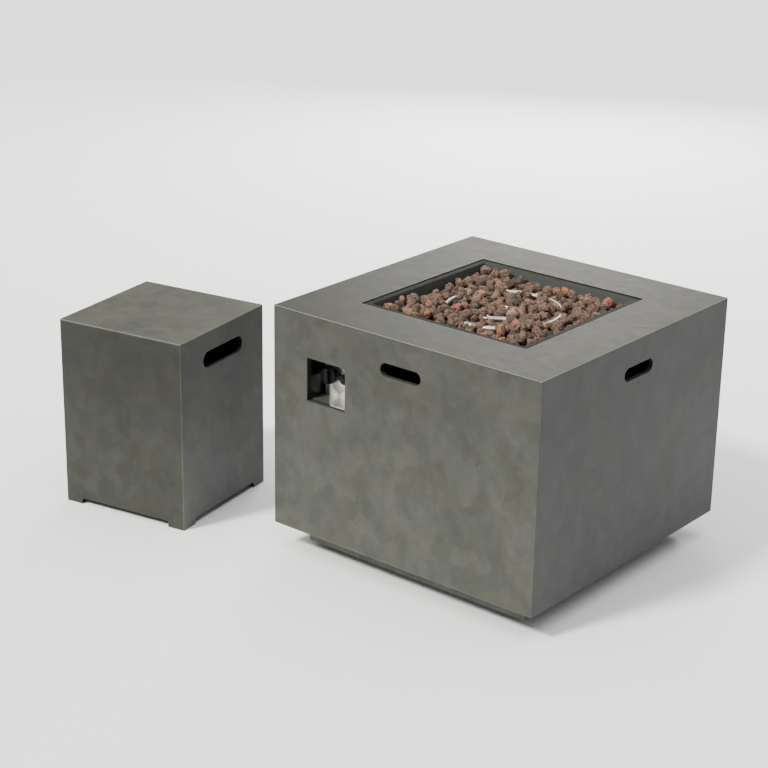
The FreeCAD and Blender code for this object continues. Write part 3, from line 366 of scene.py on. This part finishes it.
def castStoneFinish(name, half, low, top, centre=(0, 0, 0), turn=0.0, mouth=None, topShade=(1, 1, 1),
                    wall=1.0, flankLight=(1, 1, 1), bounceLight=1.06, highShade=0.88, wearAndHighlightShare=1.0, brimHighlight=0.0):
    # soft patina on a box of cast stone, paler on worn edges, partly real wear and partly a painted
    # highlight, and dark on the inner faces as painted shade; half, low, top, centre and turn are the
    # box, mouth is half the opening's width; the next five are painted light and shade: tints for the
    # top, the sides and the right-hand side, and the sides' painted bounce light low down and painted
    # shade high up; the last two are the shares of the paler edges, from wear and painted highlight,
    # and of the painted highlight along the top's edge
    stone = Finish(name)
    place = stone.settle(centre, turn)
    base, mottle, fine, holes = castStonePatina(stone, place)
    x, y, z = stone.axes(place)
    across, along = abs(x), abs(y)
    wide = across.atLeast(along)
    rightHand = stone.ease(x, half - 0.003, half - 0.001)
    # painted shade: the right-hand side's patina evened towards the middle tone
    base = stone.mix(rightHand * castStone["shadeEvening"], base, castStone["middle"])
    # painted light and shade on the top, the sides and the right side, with bounce light low down
    sides = stone.tint(stone.mix(rightHand, (wall,) * 3, flankLight), stone.ease(z, low, top, bounceLight, highShade))
    base = stone.tint(base, stone.mix(stone.ease(z, top - 0.005, top - 0.001), sides, topShade))

    def edgeWearAndHighlight(kind, reach):
        shifted = reach + fine * stoneEdge["ragged"]
        return stone.ease(shifted, half - stoneEdge[kind], half + stoneEdge["past"])

    upright = edgeWearAndHighlight("upright", across.atMost(along))
    brim = edgeWearAndHighlight("brim", wide.atMost(z + (half - top)))
    foot = edgeWearAndHighlight("foot", wide.atMost(half + low - z))
    wearAndHighlight = (upright * stoneEdge["uprightShare"]).atLeast(brim).atLeast(foot * stoneEdge["footShare"])
    if mouth:
        onLip = stone.ease(z, top - stoneEdge["lip"], top)
        wearAndHighlight = wearAndHighlight.atLeast(stone.ease(abs(wide - mouth), *stoneEdge["mouth"]) * onLip)
    rubsAndHighlight = stone.ease(stone.grain(26, 3, 0.6, 0, place), 0.30, 0.60)
    rubsAndHighlight = rubsAndHighlight * (stoneEdge["spread"] * wearAndHighlightShare) + stoneEdge["least"] * wearAndHighlightShare
    # edges paler, partly real wear and partly painted highlight; a painted highlight along the top's edge
    base = stone.mix((wearAndHighlight * rubsAndHighlight).atLeast(brim * brimHighlight), base, castStone["edge"])
    # painted shade: the inner faces dark, the upward ones less so as painted light from above
    inside = stone.ease((half - wide).atMost(top - z), *stoneEdge["shadeDepths"])
    ledges = stone.ease(stone.facing()[2], 0.4, 0.9)
    base = stone.mix(inside, base, stone.mix(ledges, castStone["inside"], castStone["deep"]))
    rough = 0.54 + mottle * 0.14 + holes * 0.2 + inside * 0.25
    soft = stone.bump(stone.grain(12, 3, 0.5, 0, place) + mottle * 0.3, 0.0010, 0.3)
    sandy = stone.bump(fine + stone.grain(620, 2, 0.5, 0, place) * 0.6, 0.00016, 0.5, soft)
    stone.paint(Base_Color=base, Roughness=rough, Specular_IOR_Level=castStone["shine"],
                Normal=stone.bump(1 - holes, 0.0005, 0.8, sandy))
    return stone.material


# painted light and shade: each box's tints, its bounce light low down and its top-edge highlight
pitShell = {
    "half": 0.390, "low": 0.064, "top": 0.630, "mouth": 0.243,
    "topShade": (0.40, 0.39, 0.325), "flankLight": (1.0, 0.99, 1.15), "bounceLight": 1.14, "brimHighlight": 0.5,
}
plinth = {
    "half": 0.329, "low": 0.012, "top": 0.100,
    "wall": 1.95, "flankLight": (1.8, 1.8, 1.9), "wearAndHighlightShare": 0.4,
}
tankCover = {
    "half": 0.185, "low": 0.0, "top": 0.498, "centre": (-0.829, -0.332, 0), "turn": 10.0,
    "topShade": (0.98, 0.96, 0.91), "wall": 0.73, "flankLight": (1.87, 1.85, 2.12), "highShade": 0.64,
    "wearAndHighlightShare": 0.3, "brimHighlight": 0.35,
}
finishes = {
    "pitShellStone": castStoneFinish("pitShellStone", **pitShell),
    "plinthStone": castStoneFinish("plinthStone", **plinth),
    "tankCoverStone": castStoneFinish("tankCoverStone", **tankCover),
}

boxShade = {
    # painted shade and reflection on the steel box: on the left wall, and up to a slanting line on
    # the floor and back, as the left wall's painted shadow and reflection
    "wall": 0.017,           # from the box's outer edge to its wall
    "lean": 0.9,             # the line's way sideways for each step back
    "shift": 0.014,          # and at the back, how far it is from the wall
    "blur": 0.003,
    # tones of the painted shade, shadow and reflection
    "wallTone": rgb(46, 46, 48),
    "floorTone": rgb(92, 94, 86),
    "frontTone": rgb(58, 59, 54),
    "backTone": rgb(126, 128, 138),
    "backScatter": 0.55,     # the back scatters more light than the floor
    "floorScatter": 0.6,
}


# paints the left wall's shade, shadow and reflection over the steel's tone
def paintBoxShade(steel, tone, corners):
    wallEnd, back = corners[0].x + boxShade["wall"], corners[1].y
    x, y, z = steel.axes()
    upright, level = [steel.ease(abs(axis), 0.5, 0.9) for axis in steel.facing()[1:]]
    line = wallEnd + back * boxShade["lean"] + boxShade["shift"]
    beside = steel.ease(x + y * boxShade["lean"], line + boxShade["blur"], line - boxShade["blur"])
    steel.paint(Metallic=1 - upright * boxShade["backScatter"] - level * beside * boxShade["floorScatter"])
    shadeTone = steel.mix(steel.ease(y, back - 0.04, back - 0.01), boxShade["frontTone"], boxShade["backTone"])
    tone = steel.mix(beside, tone, steel.mix(level, shadeTone, boxShade["floorTone"]))
    return steel.mix(steel.ease(x, wallEnd + 0.002, wallEnd + 0.0008), tone, boxShade["wallTone"])


def brushedSteel(name, colour, lines, rough, corners=None):
    # fine straight brushing along one direction, with faint smears
    steel = Finish(name, Metallic=1.0)
    streak = steel.grain(1.0, 2, 0.5, 0, steel.stretch(lines))
    smear = steel.grain(18, 3, 0.55, 0.5)
    tone = steel.mix(streak * 0.35, colour, dimmed(colour, 0.7))
    tone = steel.wash(tone, smear, 0.5, 0.75, 0.10, dimmed(colour, 0.6))
    # the box's steel gets the painted shade, shadow and reflection of its left wall
    if corners:
        tone = paintBoxShade(steel, tone, corners)
    steel.paint(Base_Color=tone, Roughness=streak * 0.08 + smear * 0.05 + rough - 0.06,
                Normal=steel.bump(streak, 0.00001, 0.2))
    return steel.material


def plainMetal(name, colour, rough, speckle=600, metallic=1.0):
    # plated, cast or drawn metal with a faint bloom
    metal = Finish(name, Metallic=metallic)
    bloom = metal.grain(60, 4, 0.6)
    tone = metal.mix(metal.ease(bloom, 0.35, 0.7), colour, dimmed(colour, 0.74))
    metal.paint(Base_Color=tone, Roughness=rough + bloom * 0.18 - 0.06,
                Normal=metal.bump(metal.grain(speckle, 2, 0.6), 0.00006, 0.4))
    return metal.material


def mouldedPlastic(name, colour, rough, grain=900, shine=0.3):
    plastic = Finish(name, Specular_IOR_Level=shine)
    texture = plastic.grain(grain, 3, 0.65)
    faded = tuple(part * 1.5 + 0.004 for part in colour)
    tone = plastic.wash(colour, plastic.grain(45), 0.4, 0.7, 0.5, faded)
    plastic.paint(Base_Color=tone, Roughness=rough + texture * 0.2 - 0.1,
                  Normal=plastic.bump(texture, 0.00008, 0.7))
    return plastic.material


panPaint = {
    "tone": rgb(76, 78, 75), "dust": rgb(88, 84, 78),
    "rimShadeTone": rgb(20, 20, 18), "rimShadeDust": rgb(36, 34, 31),
    "rim": (0.6235, 0.6260),         # the flange's height, where the paint is darker as painted shade on its lit top
}


def heatPaint(name):
    # charcoal high-temperature paint: fine orange peel, dusted with grit from the rock
    paint = Finish(name)
    peel = paint.grain(330)
    dust = paint.ease(paint.grain(34, 5, 0.7, 0.3), 0.50, 0.74)
    # painted shade: the flange's top is darker than the wall
    rim = paint.ease(paint.axes()[2], *panPaint["rim"]) * paint.ease(paint.facing()[2], 0.5, 0.9)
    tone = paint.mix(rim, paint.mix(dust * 0.4, panPaint["tone"], panPaint["dust"]),
                     paint.mix(dust * 0.3, panPaint["rimShadeTone"], panPaint["rimShadeDust"]))
    paint.paint(Base_Color=tone, Roughness=0.78 + dust * 0.15 - peel * 0.1, Specular_IOR_Level=0.1,
                Normal=paint.bump(peel, 0.00012, 0.6))
    return paint.material


steels = {
    "boxSteel": {"colour": rgb(236, 236, 226), "lines": (5, 170, 170), "rough": 0.19,
                 "corners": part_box("control_box")},
    "burnerSteel": {"colour": rgb(172, 168, 160), "lines": (300, 300, 40), "rough": 0.40},
}
metals = {
    "framePaint": {"colour": rgb(38, 38, 39), "rough": 0.5, "speckle": 500, "metallic": 0.0},
    "zincPlate": {"colour": rgb(190, 193, 196), "rough": 0.34},
    "brassTurned": {"colour": rgb(196, 160, 88), "rough": 0.3},
    "dieCast": {"colour": rgb(176, 178, 178), "rough": 0.45, "speckle": 320},
    "drawnTube": {"colour": rgb(196, 197, 199), "rough": 0.3, "speckle": 260},
    "springWire": {"colour": rgb(170, 172, 175), "rough": 0.28},
    "copperLine": {"colour": rgb(188, 118, 84), "rough": 0.32},
}
plastics = {
    "blackPlastic": {"colour": rgb(12, 12, 13), "rough": 0.5, "shine": 0.12},
    "footRubber": {"colour": rgb(24, 24, 24), "rough": 0.72, "grain": 500},
    "leadSleeve": {"colour": rgb(30, 30, 31), "rough": 0.55, "grain": 700},
    "cellWrap": {"colour": rgb(58, 60, 64), "rough": 0.25, "grain": 300},
    "ceramicBody": {"colour": rgb(222, 217, 206), "rough": 0.6, "grain": 420},
}
finishes["panPaint"] = heatPaint("panPaint")
for make, setups in ((brushedSteel, steels), (plainMetal, metals), (mouldedPlastic, plastics)):
    for name, setup in setups.items():
        finishes[name] = make(name, **setup)

# foot pads are rubber, and every other piece that isn't named is zinc plated
piecesOf = {
    "pitShellStone": ["pit_shell"], "plinthStone": ["plinth"], "tankCoverStone": ["tank_cover"],
    "framePaint": ["base_frame"], "panPaint": ["burner_pan"], "boxSteel": ["control_box"],
    "burnerSteel": ["ring_burner", "pilot_shield", "pilot_bracket", "burner_posts"],
    "brassTurned": ["air_mixer", "gas_jet", "feed_pipe_nuts", "valve_plug", "gas_inlet_fitting"],
    "dieCast": ["valve_body"], "drawnTube": ["feed_pipe"], "copperLine": ["thermocouple"],
    "springWire": ["stem_spring", "battery_spring", "button_spring"],
    "blackPlastic": ["control_knob", "igniter_body", "igniter_nut", "igniter_cap", "igniter_button"],
    "leadSleeve": ["igniter_lead"], "cellWrap": ["igniter_battery"], "ceramicBody": ["spark_electrode"],
}
finishOf = {piece: key for key, pieces in piecesOf.items() for piece in pieces}
for name, item in nodes.items():
    key = finishOf.get(name, "footRubber" if name.startswith("foot_pad") else "zincPlate")
    item.data.materials.clear()
    item.data.materials.append(finishes[key])
print("finishes given to", len(nodes), "pieces")

lavaRock = {
    "half": 0.2215,          # the bed's half width
    "depth": 0.040,          # of the loose rocks, down to the grit
    "smallest": 0.0075, "usual": 0.0130, "largest": 0.0215,
    # shares of a rock's size
    "above": 0.85,           # its top over its middle
    "girth": 0.8,            # its side from its middle
    "contact": 0.84,         # where it rests on another
    "wallGap": 0.95,         # its middle from the bed's edge, at least
    "sunk": 0.6,             # how deep the middle of a chosen rock lies
    "edgeLevel": 0.606,      # the rocks' tops beside the pan's wall
    "middleLevel": 0.625,
    "highest": 0.6265,       # level of the heaps
    "rim": 0.6293,           # no rock stands above this
    "proud": 0.004,          # how far a poured rock may stand over the level
    "inSight": 0.014,        # larger rocks less deep than this get the finer mesh
    "fineSize": 0.0095,
    # x, y, rise and reach of each heap
    "heaps": [(-0.19, 0.19, 0.018, 0.10), (-0.20, -0.17, 0.020, 0.09), (0.19, 0.17, 0.011, 0.09),
              (0.06, 0.20, 0.010, 0.08)],
    # larger rocks, listed: x, y, size, tone
    "chosen": [(-0.204, -0.090, 0.0185, 0.42), (-0.150, -0.150, 0.0175, 0.50), (-0.182, 0.105, 0.0179, 0.40),
               (-0.163, 0.184, 0.0165, 0.60), (-0.096, 0.032, 0.0175, 0.97), (0.045, -0.024, 0.0184, 0.98),
               (0.069, 0.028, 0.0155, 0.40), (0.167, 0.046, 0.0165, 0.45), (-0.021, 0.009, 0.0155, 0.78),
               (-0.165, -0.046, 0.0160, 0.42), (0.156, -0.136, 0.0171, 0.50), (0.004, 0.183, 0.0159, 0.38),
               (0.044, 0.200, 0.0135, 0.93), (0.170, 0.200, 0.0155, 0.91), (0.133, -0.185, 0.0120, 0.88),
               (-0.123, 0.025, 0.0113, 1.0), (-0.203, 0.203, 0.0150, 0.80), (-0.100, -0.167, 0.0085, 0.93),
               (-0.205, -0.132, 0.0090, 0.94), (-0.052, 0.193, 0.0180, 0.45), (0.096, -0.140, 0.0145, 0.86),
               (0.172, -0.019, 0.0170, 0.42), (-0.196, -0.185, 0.0184, 0.80), (0.132, 0.163, 0.0160, 0.68),
               (-0.094, -0.083, 0.0170, 0.40)],
    "wedge": (0.0070, -0.0992, 0.6115, 0.0095, 0.5),     # a small one: x, y, z, size, tone
    "seed": 41, "tries": 12, "misses": 260,
}

burnerView = {
    # what shows of the burner to a viewer in front of the pit, to the right
    "sight": (0.593, -0.724, 0.355),         # the way to the viewer
    "away": (-0.634, 0.774),                 # the way from there, along the ground
    "climb": 0.36,           # how much higher the sight passes for each step towards the viewer
    "near": 4,               # a rock hides what is less than this many sizes behind it
    "dip": 1.6,              # over a bare place, a rock's top stays this many radii below
    "tube": 0.0064,          # radius of the burner's tube
    "shield": 0.0065,        # radius of the pilot shield
    # the tube's bare arcs: from and to in degrees, share of the tube that shows
    "bareRing": [(184, 204, 1.0), (90, 101, 0.8), (110, 119, 0.8), (268, 276, 0.6), (291, 298, 0.9),
                 (46, 74, 0.3), (12, 30, 0.2), (348, 371, 0.2)],
    "thin": 0.6,             # arcs with no larger share get small rocks on both sides
    "beside": (0.0075, 0.0110),              # the sizes of those rocks
    "hug": 0.74,             # their way from the tube, as a share of the size
    "lower": 0.0012,         # how far their tops lie below the tube's
}

burial = {
    # the rocks that hide the rest of the burner
    "sizes": (0.0075, 0.0150),
    "shifts": ((-0.005, 0.005), (-0.005, 0.005), (-0.007, 0.002)),
    "forward": 0.5,          # towards the viewer, as a share of the size
    "tries": 60,
    # a rock hides a spot from this share of its size behind to this far ahead, within its girth
    "behind": 0.3, "ahead": 0.09, "girth": 0.72,
}

rockForm = {
    "squeeze": ((0.92, 1.22), (0.80, 1.0), (0.70, 0.95)),
    "lumps": ((1.4, 0.34), (2.8, 0.36)),     # scale and height of each noise
    "breaks": 4,             # broken faces
    "breakReach": (0.66, 0.95),              # how far out they lie, as a share of the size
    "cut": 0.8,              # how much of what stands over them is gone
    "tones": (0.48, 0.24),                   # middle and spread
    "palest": 0.84,
}

grit = {"cells": 48, "lift": 0.012, "lumps": ((90, 0.006), (240, 0.003)), "tone": 0.2}

rockTones = {
    "stops": [(0.0, rgb(64, 51, 46)), (0.18, rgb(82, 64, 54)), (0.36, rgb(106, 85, 68)),
              (0.52, rgb(102, 80, 67)), (0.66, rgb(118, 91, 76)), (0.80, rgb(129, 96, 80)),
              (0.93, rgb(160, 102, 72)), (1.0, rgb(146, 125, 105))],
    "shade": rgb(54, 42, 38),
    "bloom": rgb(150, 128, 112),
    # painted shade in the coarse pits and the fine pores
    "pit": rgb(40, 29, 27),
    "pore": rgb(28, 21, 19),
}


def rockFinish():
    # craggy rock with coarse pits and fine pores; each rock carries its own tone
    rock = Finish("lavaRock")
    tone = Wire(rock, rock.node("Attribute", {"attribute_name": "tone"}).outputs["Fac"])
    spots = rock.grain(110, 4, 0.65)
    hollow = rock.ease(rock.cells(360, rock.stir(90, 0.003)), 0.42, 0.16)
    pits = rock.ease(rock.cells(165, rock.stir(60, 0.006)), 0.46, 0.20)
    base = rock.ramp(tone, rockTones["stops"])
    base = rock.wash(base, spots, 0.55, 0.30, 0.55, rockTones["shade"])
    base = rock.wash(base, spots, 0.58, 0.80, 0.5, rockTones["bloom"])
    # painted shade in the pits and pores
    base = rock.mix(pits * 0.55, base, rockTones["pit"])
    base = rock.mix(hollow * 0.6, base, rockTones["pore"])
    relief = rock.bump(rock.grain(90, 4, 0.7), 0.004, 0.8)
    relief = rock.bump(1 - pits, 0.0030, 0.8, relief)
    relief = rock.bump(1 - hollow, 0.0016, 0.8, relief)
    relief = rock.bump(rock.grain(900, 2), 0.0004, 0.5, relief)
    rock.paint(Base_Color=base, Roughness=0.86 + hollow * 0.1, Normal=relief)
    return rock.material


def rockLevel(x, y):
    # height of the rocks' tops: a low dome with a few heaps
    out = max(abs(x), abs(y)) / lavaRock["half"]
    level = lavaRock["edgeLevel"] + (lavaRock["middleLevel"] - lavaRock["edgeLevel"]) * (1 - out ** 3)
    for heapX, heapY, rise, reach in lavaRock["heaps"]:
        level += rise * math.exp(-((x - heapX) ** 2 + (y - heapY) ** 2) / reach ** 2)
    return min(level, lavaRock["highest"])


def ringSpot(degrees):
    # a point on the middle line of the ring burner's tube
    low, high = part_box("ring_burner")
    tube = burnerView["tube"]
    reach = (high[0] - low[0]) / 2 - tube
    angle = math.radians(degrees)
    return Vector((reach * math.cos(angle), reach * math.sin(angle), high[2] - tube)), tube


def clearSpots():
    # the burner's bare arcs and the pilot shield, which no rock may cover
    spots = []
    for start, stop, share in burnerView["bareRing"]:
        for degrees in range(start, stop + 1, 4):
            spot, tube = ringSpot(degrees)
            spots.append((spot.xy, tube * share, spot.z + tube))
    low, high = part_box("pilot_shield")
    for share in (0.1, 0.3, 0.5, 0.7, 0.9):
        spot = Vector((low[0] + (high[0] - low[0]) * share, low[1] + (high[1] - low[1]) * share))
        spots.append((spot, burnerView["shield"], high[2]))
    return spots


def covers(spots, x, y, size, top):
    # true where a rock would stand over a bare place, or hide it from the viewer
    away = Vector(burnerView["away"])
    girth = size * lavaRock["girth"]
    for spot, radius, level in spots:
        gap = spot - Vector((x, y))
        if gap.length < girth + radius and top > level - burnerView["dip"] * radius:
            return True
        behind = gap.dot(away)
        beside = abs(gap.x * away.y - gap.y * away.x)
        sight = level - radius + behind * burnerView["climb"]
        if 0 < behind < burnerView["near"] * size and beside < girth and top > sight:
            return True
    return False


def lineRing(dice, rocks):
    # small rocks along both sides of the arcs that show only as a thin line
    for start, stop, share in burnerView["bareRing"]:
        if share > burnerView["thin"]:
            continue
        for degrees in range(start - 2, stop + 3, 6):
            spot, tube = ringSpot(degrees)
            radial = spot.xy.normalized()
            for side in (-1, 1):
                size = dice.uniform(*burnerView["beside"])
                x, y = spot.xy + radial * side * (size * burnerView["hug"] + tube * share)
                z = spot.z + tube - burnerView["lower"] - size * lavaRock["above"]
                rocks.append((Vector((x, y, z)), size, None))


def buriedSpots():
    # points along the ring and the cross tube that lie under the rock
    spots = []
    for degrees in range(0, 360, 5):
        if not any(start - 3 < turn < stop + 3 for start, stop, share in burnerView["bareRing"]
                   for turn in (degrees, degrees + 360)):
            spots.append(ringSpot(degrees)[0])
    edge, tube = ringSpot(0)
    for k in range(-9, 10):
        spots.append(Vector((edge.x * k / 10, 0, edge.z)))
    spots = [spot + Vector((0, 0, lift)) for spot in spots for lift in (tube * 0.8, 0)]
    # and the probes beside the pilot shield
    for name in ("thermocouple", "spark_electrode", "pilot_bracket"):
        low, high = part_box(name)
        spots.append(Vector(((low[0] + high[0]) / 2, (low[1] + high[1]) / 2, high[2])))
    return spots


def hides(rocks, spot):
    # true where a rock stands between the spot and the viewer
    sight = Vector(burnerView["sight"])
    for centre, size, tone in rocks:
        gap = centre - spot
        ahead = gap.dot(sight)
        aside = (gap - sight * ahead).length
        if -size * burial["behind"] < ahead < burial["ahead"] and aside < size * burial["girth"]:
            return True
    return False


def buryBurner(dice, rocks):
    # rocks laid over the parts of the burner that the pour left bare
    bare = clearSpots()
    sight = Vector(burnerView["sight"])
    for spot in buriedSpots():
        if hides(rocks, spot):
            continue
        for attempt in range(burial["tries"]):
            size = dice.uniform(*burial["sizes"])
            shift = Vector([dice.uniform(*reach) for reach in burial["shifts"]])
            place = spot + sight * size * burial["forward"] + shift
            top = place.z + size * lavaRock["above"]
            if top < lavaRock["rim"] and not covers(bare, place.x, place.y, size, top):
                rocks.append((place, size, None))
                break


def anyWay(dice, count):
    return [dice.gauss(0, 1) for k in range(count)]


def oneRock(shape, dice, centre, size, detail, layer, tone):
    # a lumpy ball with a few broken faces
    made = bmesh.ops.create_icosphere(shape, subdivisions=detail, radius=size)["verts"]
    squeeze = Vector([dice.uniform(*reach) for reach in rockForm["squeeze"]])
    offset = Vector([dice.uniform(-90, 90) for k in range(3)])
    breaks = []
    for k in range(rockForm["breaks"]):
        way = Vector(anyWay(dice, 3)).normalized()
        breaks.append((way, size * dice.uniform(*rockForm["breakReach"])))
    for vert in made:
        way = vert.co.normalized()
        swell = 1
        for scale, height in rockForm["lumps"]:
            swell += noise.noise(way * scale + offset) * height
        vert.co *= swell
        for face, reach in breaks:
            over = vert.co.dot(face) - reach
            if over > 0:
                vert.co -= face * over * rockForm["cut"]
        vert.co = vert.co * squeeze
    turn = Quaternion(anyWay(dice, 4)).normalized()
    chance = min(rockForm["palest"], max(0.0, dice.gauss(*rockForm["tones"])))
    for vert in made:
        vert.co = turn @ vert.co + centre
        vert[layer] = chance if tone is None else tone
    sink = max(0.0, max(vert.co.z for vert in made) - lavaRock["rim"])
    for vert in made:
        vert.co.z -= sink


class Heap:
    # the rocks laid so far, sorted into columns so that neighbours are found quickly
    def __init__(self):
        self.columns = {}
        self.cell = 2 * lavaRock["largest"]

    def column(self, x, y):
        return int(x // self.cell), int(y // self.cell)

    def sort(self, place, size):
        self.columns.setdefault(self.column(place.x, place.y), []).append((place, size))

    def restingHeight(self, x, y, size):
        # where a rock let down here comes to rest, on the grit or on those below
        z = rockLevel(x, y) - lavaRock["depth"] + size
        column = self.column(x, y)
        for i in (-1, 0, 1):
            for j in (-1, 0, 1):
                for other, reach in self.columns.get((column[0] + i, column[1] + j), []):
                    apart = (other.x - x) ** 2 + (other.y - y) ** 2
                    touch = ((size + reach) * lavaRock["contact"]) ** 2
                    if apart < touch:
                        z = max(z, other.z + math.sqrt(touch - apart))
        return z


def pourRocks(dice):
    # chosen rocks first; each of the others comes to rest at the lowest of a few places
    above = lavaRock["above"]
    spots = clearSpots()
    heap = Heap()
    rocks, misses = [], 0
    for x, y, size, tone in lavaRock["chosen"]:
        place = Vector((x, y, rockLevel(x, y) - size * lavaRock["sunk"]))
        if not covers(spots, x, y, size, place.z + size * above):
            rocks.append((place, size, tone))
    lineRing(dice, rocks)
    x, y, z, size, tone = lavaRock["wedge"]
    rocks.append((Vector((x, y, z)), size, tone))
    for place, size, tone in rocks:
        heap.sort(place, size)
    while misses < lavaRock["misses"]:
        size = dice.triangular(lavaRock["smallest"], lavaRock["largest"], lavaRock["usual"])
        limit = lavaRock["half"] - size * lavaRock["wallGap"]
        best = None
        for attempt in range(lavaRock["tries"]):
            x, y = dice.uniform(-limit, limit), dice.uniform(-limit, limit)
            z = heap.restingHeight(x, y, size)
            spare = rockLevel(x, y) - z - size * above
            free = spare > -lavaRock["proud"] and not covers(spots, x, y, size, z + size * above)
            if free and (best is None or z < best.z):
                best = Vector((x, y, z))
        if best is None:
            misses += 1
            continue
        rocks.append((best, size, None))
        heap.sort(best, size)
    return rocks


def makeGrit(shape, tone):
    # the crushed fill that shows between the rocks
    count = grit["cells"]
    made = bmesh.ops.create_grid(shape, x_segments=count, y_segments=count, size=lavaRock["half"])["verts"]
    for vert in made:
        lumps = sum(noise.noise(vert.co * scale) * height for scale, height in grit["lumps"])
        vert.co.z = rockLevel(vert.co.x, vert.co.y) - lavaRock["depth"] + grit["lift"] + lumps
        vert[tone] = grit["tone"]


def makeRocks():
    dice = random.Random(lavaRock["seed"])
    shape = bmesh.new()
    tone = shape.verts.layers.float.new("tone")
    rocks = pourRocks(dice)
    buryBurner(dice, rocks)
    shown = 0
    for centre, size, own in rocks:
        bare = centre.z + size * lavaRock["above"] > rockLevel(centre.x, centre.y) - lavaRock["inSight"]
        shown += bare
        detail = 3 if bare and size > lavaRock["fineSize"] else 2
        oneRock(shape, dice, centre, size, detail, tone, own)
    makeGrit(shape, tone)
    for face in shape.faces:
        face.smooth = True
    mesh = bpy.data.meshes.new("lavaRocks")
    shape.to_mesh(mesh)
    shape.free()
    item = addItem("lavaRocks", mesh)
    mesh.materials.append(rockFinish())
    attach(item, "fire_pit")
    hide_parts("lava_rock_bed")
    print("lava rock:", len(rocks), "rocks,", shown, "on top,", len(mesh.polygons), "faces")


makeRocks()
